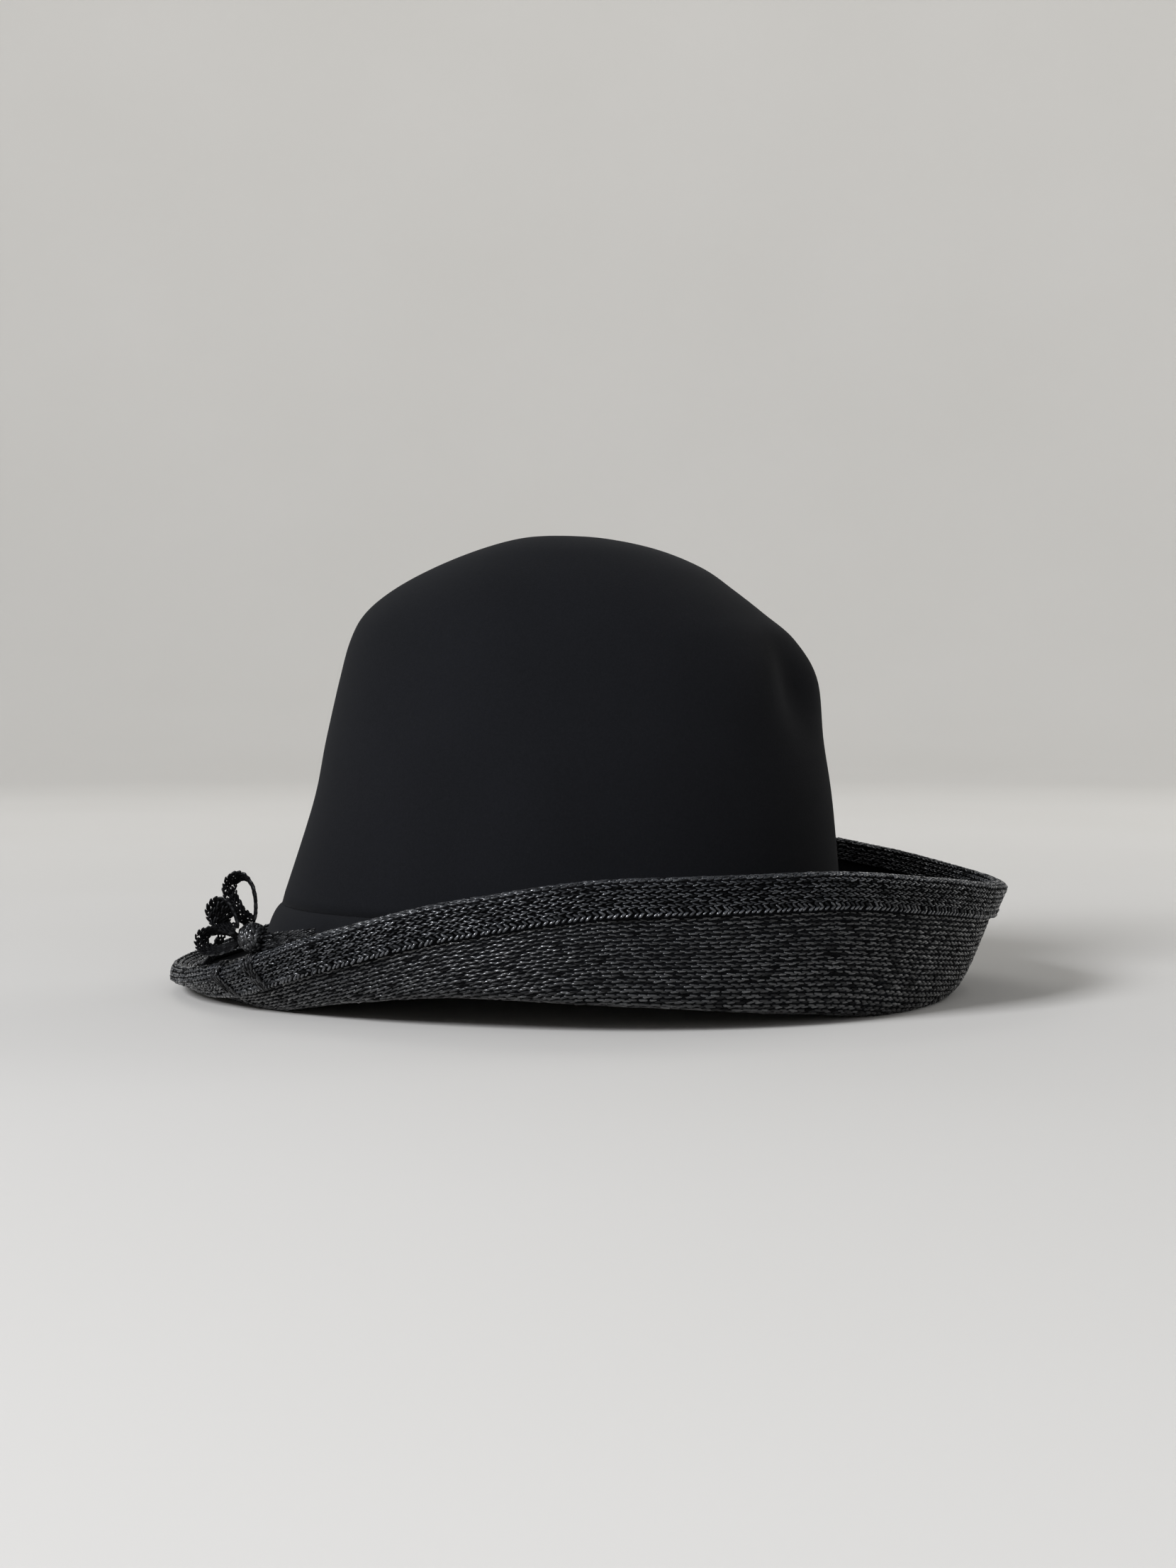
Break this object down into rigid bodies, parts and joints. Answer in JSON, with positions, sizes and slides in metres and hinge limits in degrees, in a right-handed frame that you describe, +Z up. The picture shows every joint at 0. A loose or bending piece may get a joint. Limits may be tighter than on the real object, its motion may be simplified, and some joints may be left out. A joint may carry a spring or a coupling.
{
  "type": "wide-brim hat with an upturned brim",
  "caption": "Black felt hat with a tall domed crown, a wide braid-faced brim turned up at the front and sides, a bound edge and a small braid bow.",
  "frame": {"origin": "under the middle of the whole hat, on the surface that it rests on", "axes": "+Z up through the crown, -Y towards the front of the hat, -X towards the wearer's right"},
  "size_m": [0.2574, 0.2872, 0.155],
  "materials": {
    "wool_felt": "matt black wool felt",
    "sewn_braid": "glossy black braid sewn in rows",
    "braid_binding": "glossy black braid binding",
    "open_braid": "glossy black open-work braid"
  },
  "bodies": {
    "root": {"crown": "wool_felt", "brim": "sewn_braid", "edge_binding": "braid_binding", "bow_knot": "open_braid", "bow_loop_upper": "open_braid", "bow_loop_middle": "open_braid", "bow_loop_back": "open_braid", "bow_strand": "open_braid", "bow_tail": "open_braid"}
  },
  "joints": []
}
